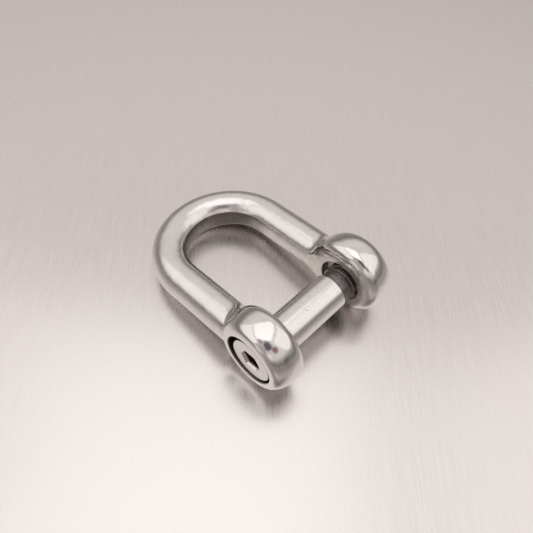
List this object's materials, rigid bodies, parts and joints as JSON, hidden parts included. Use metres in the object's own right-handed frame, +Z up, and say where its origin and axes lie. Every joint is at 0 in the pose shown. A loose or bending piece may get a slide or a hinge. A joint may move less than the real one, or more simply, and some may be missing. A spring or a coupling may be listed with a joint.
{
  "type": "dee shackle",
  "caption": "Polished stainless D shackle: a U-shaped round-bar bow with two drilled ears, closed by a screw pin whose socket head is sunk in one ear.",
  "frame": {"origin": "on the pin axis, midway between the inner faces of the two ears", "axes": "+X along the pin from its head to its thread, +Y towards the crown, +Z up as the shackle lies on its side on a table"},
  "size_m": [0.0342, 0.0494, 0.0174],
  "materials": {
    "bow_steel": "polished forged stainless steel, mirror bright on the ears and satin on the bar",
    "pin_steel": "turned stainless steel, fine concentric marks on the head, polished shank"
  },
  "bodies": {
    "bow": {"bow": "bow_steel"},
    "screw_link": {"screw_joint_core": "pin_steel"},
    "pin": {"pin": "pin_steel"}
  },
  "joints": [
    {"name": "pin_travel", "type": "slide", "parent": "bow", "child": "screw_link", "axis": [1, 0, 0], "range_m": [-0.0451, 0]},
    {"name": "pin_turn", "type": "hinge", "parent": "screw_link", "child": "pin", "pos_m": [0, 0, 0], "axis": [1, 0, 0], "range_deg": [-12960, 0]}
  ],
  "couplings": [
    {"joint": "pin_travel", "follows": "pin_turn", "m_per_rad": 0.00019894}
  ]
}
